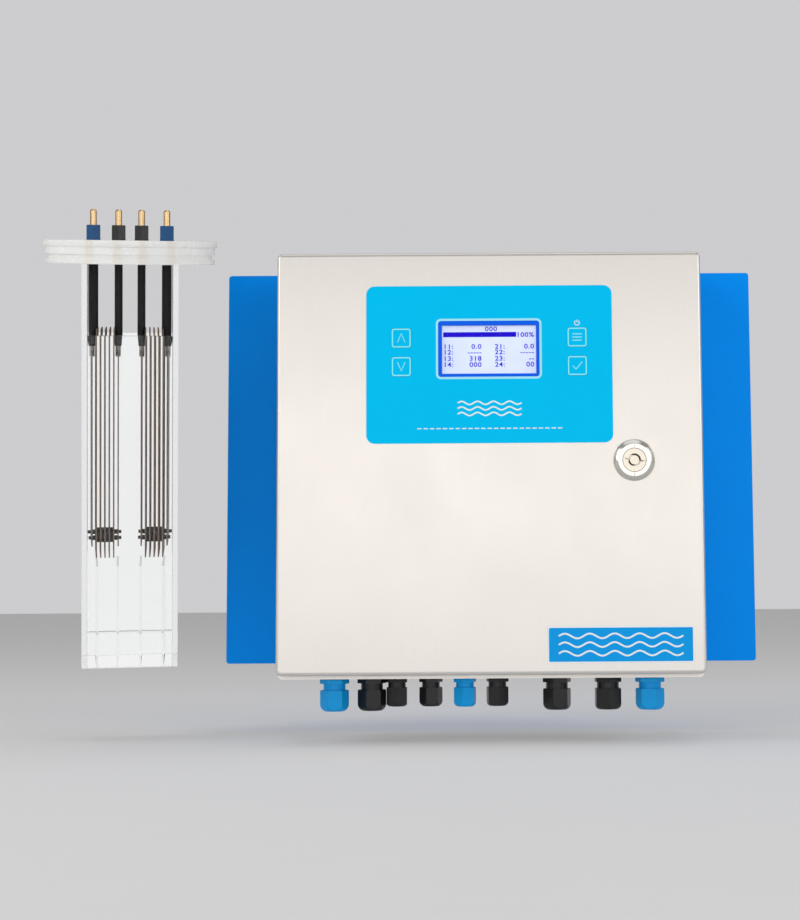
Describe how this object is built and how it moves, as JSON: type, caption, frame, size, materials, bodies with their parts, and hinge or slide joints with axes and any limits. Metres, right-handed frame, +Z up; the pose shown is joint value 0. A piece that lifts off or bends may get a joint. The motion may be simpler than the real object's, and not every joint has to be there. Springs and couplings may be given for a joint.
{
  "type": "salt chlorine generator",
  "caption": "Wall-mounted stainless control cabinet on a blue backing plate, with a keypad display, cable glands and a clear electrolysis cell with plate packs.",
  "frame": {"origin": "centre of the four wall holes, on the wall plane behind the blue backing plate", "axes": "+X to the right, +Y into the wall, +Z up"},
  "size_m": [0.6934, 0.2041, 0.4796],
  "materials": {
    "blue_paint": "satin",
    "stainless": "brushed vertically",
    "galvanised_steel": "dull spangled",
    "zinc_steel": "zinc plated",
    "brass": "machined",
    "black_nylon": "moulded",
    "black_rubber": "matt",
    "blue_nylon": "moulded",
    "winding_tape": "taped winding",
    "circuit_board": "solder resist",
    "aluminium_fin": "extruded",
    "component_black": "moulded",
    "relay_case": "moulded",
    "capacitor_sleeve": "shrink sleeve",
    "choke_core": "wound ring",
    "terminal_green": "moulded",
    "terminal_grey": "moulded",
    "breaker_case": "moulded",
    "cyan_overlay": "printed foil",
    "lcd_clear": "clear foil",
    "lcd_case": "lit display",
    "blue_label": "printed foil",
    "cast_zinc": "satin",
    "clear_acrylic": "polished",
    "gold_brass": "polished",
    "titanium": "satin",
    "coated_titanium": "dark oxide coating"
  },
  "bodies": {
    "cabinet": {"backing_plate": "blue_paint", "cabinet_shell": "stainless", "mounting_plate": "galvanised_steel", "plate_fixings": "zinc_steel", "hinge_brackets": "stainless", "earth_terminal": "brass", "gland_locknuts": "black_nylon", "gland_seals": "black_rubber", "gland_bodies_black": "black_nylon", "gland_bodies_blue": "blue_nylon", "gland_nuts_black": "black_nylon", "gland_nuts_blue": "blue_nylon", "transformer": "winding_tape", "transformer_pads": "black_rubber", "transformer_fixings": "zinc_steel", "power_board": "circuit_board", "board_fixings": "zinc_steel", "heat_sink": "aluminium_fin", "rectifiers": "component_black", "relays": "relay_case", "capacitors": "capacitor_sleeve", "chokes": "choke_core", "board_terminals": "terminal_green", "din_rail": "zinc_steel", "terminal_blocks": "terminal_grey", "circuit_breaker": "breaker_case"},
    "door": {"door_panel": "stainless", "door_gasket": "black_rubber", "hinge_ears": "stainless", "hinge_pins": "stainless", "keypad_overlay": "cyan_overlay", "lcd_window": "lcd_clear", "lcd_module": "lcd_case", "display_board": "circuit_board", "display_posts": "zinc_steel", "display_components": "component_black", "rating_plate": "blue_label", "lock_housing": "cast_zinc", "lock_nut": "zinc_steel"},
    "lock": {"lock_barrel": "cast_zinc", "lock_cam": "zinc_steel", "cam_screw": "zinc_steel"},
    "key_up": {"key_up": "cyan_overlay"},
    "key_down": {"key_down": "cyan_overlay"},
    "key_menu": {"key_menu": "cyan_overlay"},
    "key_ok": {"key_ok": "cyan_overlay"},
    "toggle": {"breaker_lever": "component_black"},
    "cell": {"cell_flange": "clear_acrylic", "cell_side_walls": "clear_acrylic", "cell_face_walls": "clear_acrylic", "cell_divider": "clear_acrylic", "terminal_pins": "gold_brass", "terminal_collars_blue": "blue_nylon", "terminal_collars_black": "black_nylon", "electrode_stems": "titanium", "stem_sleeves": "black_nylon", "terminal_plates": "titanium", "bipolar_plates": "coated_titanium", "plate_spacers": "black_nylon"}
  },
  "joints": [
    {"name": "door_hinge", "type": "hinge", "parent": "cabinet", "child": "door", "pos_m": [-0.194, -0.146, 0], "axis": [0, 0, -1], "range_deg": [0, 105]},
    {"name": "lock_turn", "type": "hinge", "parent": "door", "child": "lock", "pos_m": [0.1351, -0.146, 0.0025], "axis": [0, -1, 0], "range_deg": [0, 90]},
    {"name": "up_press", "type": "slide", "parent": "door", "child": "key_up", "axis": [0, 1, 0], "range_m": [0, 0.0005], "stiffness_N_per_m": 600, "springref_m": -0.0004},
    {"name": "down_press", "type": "slide", "parent": "door", "child": "key_down", "axis": [0, 1, 0], "range_m": [0, 0.0005], "stiffness_N_per_m": 600, "springref_m": -0.0004},
    {"name": "menu_press", "type": "slide", "parent": "door", "child": "key_menu", "axis": [0, 1, 0], "range_m": [0, 0.0005], "stiffness_N_per_m": 600, "springref_m": -0.0004},
    {"name": "ok_press", "type": "slide", "parent": "door", "child": "key_ok", "axis": [0, 1, 0], "range_m": [0, 0.0005], "stiffness_N_per_m": 600, "springref_m": -0.0004},
    {"name": "breaker_toggle", "type": "hinge", "parent": "cabinet", "child": "toggle", "pos_m": [0.011, -0.0835, -0.07], "axis": [1, 0, 0], "range_deg": [0, 44]},
    {"name": "cell_withdraw", "type": "slide", "parent": "cabinet", "child": "cell", "axis": [0.021, -0.1709, 0.9851], "range_m": [0, 0.45]}
  ]
}
